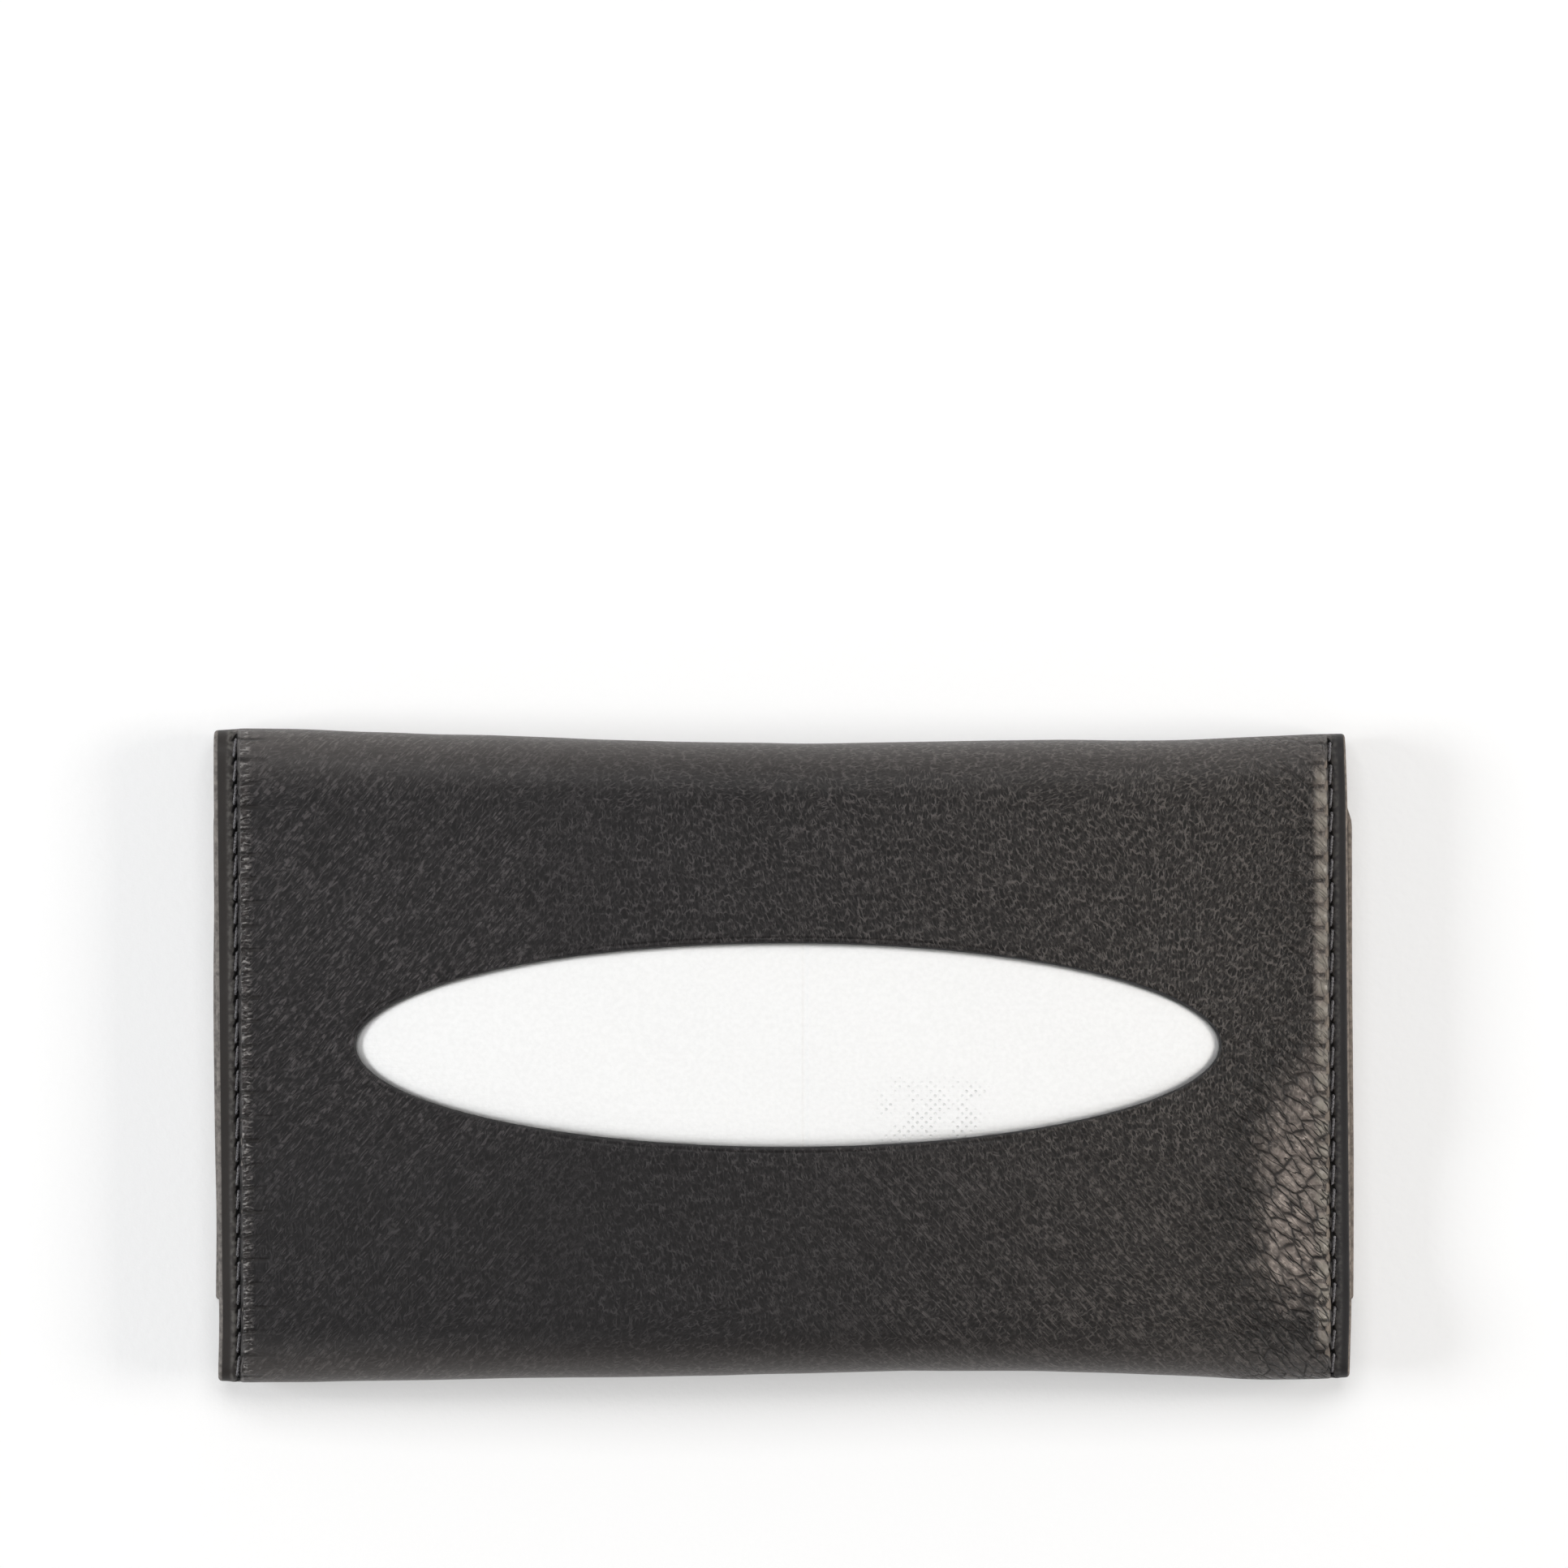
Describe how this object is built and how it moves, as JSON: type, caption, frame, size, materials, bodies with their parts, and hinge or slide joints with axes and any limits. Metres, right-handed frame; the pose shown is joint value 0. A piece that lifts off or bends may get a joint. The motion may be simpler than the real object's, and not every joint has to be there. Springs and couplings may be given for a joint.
{
  "type": "pocket tissue holder",
  "caption": "Flat lined leather case for folded pocket tissues, with a long oval opening in front and a hinged back flap.",
  "frame": {"origin": "middle of the underside, in the plane of the flap's outer face", "axes": "+X along the length, towards the right seam seen from the front; +Y from the bottom fold to the top fold; +Z out of the front with the oval opening"},
  "size_m": [0.14, 0.0804, 0.014],
  "materials": {
    "leather": "black pebbled full-grain, low sheen",
    "lining": "black thin woven lining",
    "thread": "black waxed polyester thread",
    "magnet": "nickel plated",
    "tissue": "soft white paper"
  },
  "bodies": {
    "case": {"case_leather": "leather", "case_lining": "lining", "pocket_magnet_left": "magnet", "pocket_magnet_right": "magnet", "left_needle_thread": "thread", "left_bobbin_thread": "thread", "right_needle_thread": "thread", "right_bobbin_thread": "thread", "tissue_01": "tissue", "tissue_02": "tissue", "tissue_03": "tissue", "tissue_04": "tissue", "tissue_05": "tissue", "tissue_06": "tissue", "tissue_07": "tissue", "tissue_08": "tissue", "tissue_09": "tissue", "tissue_10": "tissue"},
    "flap": {"flap_leather": "leather", "flap_lining": "lining", "flap_magnet_left": "magnet", "flap_magnet_right": "magnet"}
  },
  "joints": [
    {"name": "flap_hinge", "type": "hinge", "parent": "case", "child": "flap", "pos_m": [0, 0.03135, 0], "axis": [1, 0, 0], "range_deg": [0, 175]}
  ]
}
